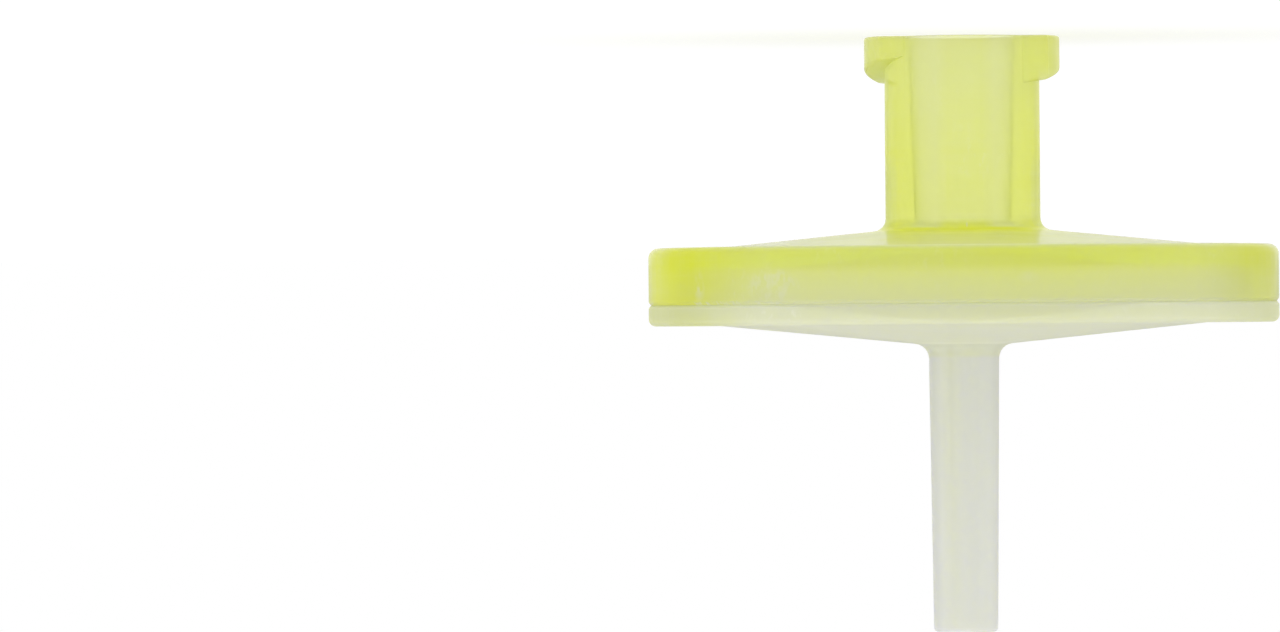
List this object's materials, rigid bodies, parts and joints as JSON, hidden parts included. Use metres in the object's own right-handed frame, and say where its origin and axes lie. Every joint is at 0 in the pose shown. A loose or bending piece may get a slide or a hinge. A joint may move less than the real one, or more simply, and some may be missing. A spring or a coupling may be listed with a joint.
{
  "type": "syringe filter",
  "caption": "Disc membrane filter for a syringe: a round welded housing with a female luer-lock hub on one side and a plain outlet tube on the other.",
  "frame": {"origin": "centre of the inlet hub's mouth, on which the filter stands", "axes": "+Z along the filter's axis from the inlet to the outlet, +X towards one luer lug"},
  "size_m": [0.0252, 0.0252, 0.0238],
  "materials": {
    "yellow_polypropylene": "translucent yellow-green moulded plastic, semi-gloss",
    "natural_polypropylene": "translucent natural moulded plastic, semi-gloss",
    "membrane": "white microporous sheet"
  },
  "bodies": {
    "root": {"inlet_hub": "yellow_polypropylene", "inlet_housing": "yellow_polypropylene", "outlet_housing": "natural_polypropylene", "outlet_tube": "natural_polypropylene", "membrane": "membrane"}
  },
  "joints": []
}
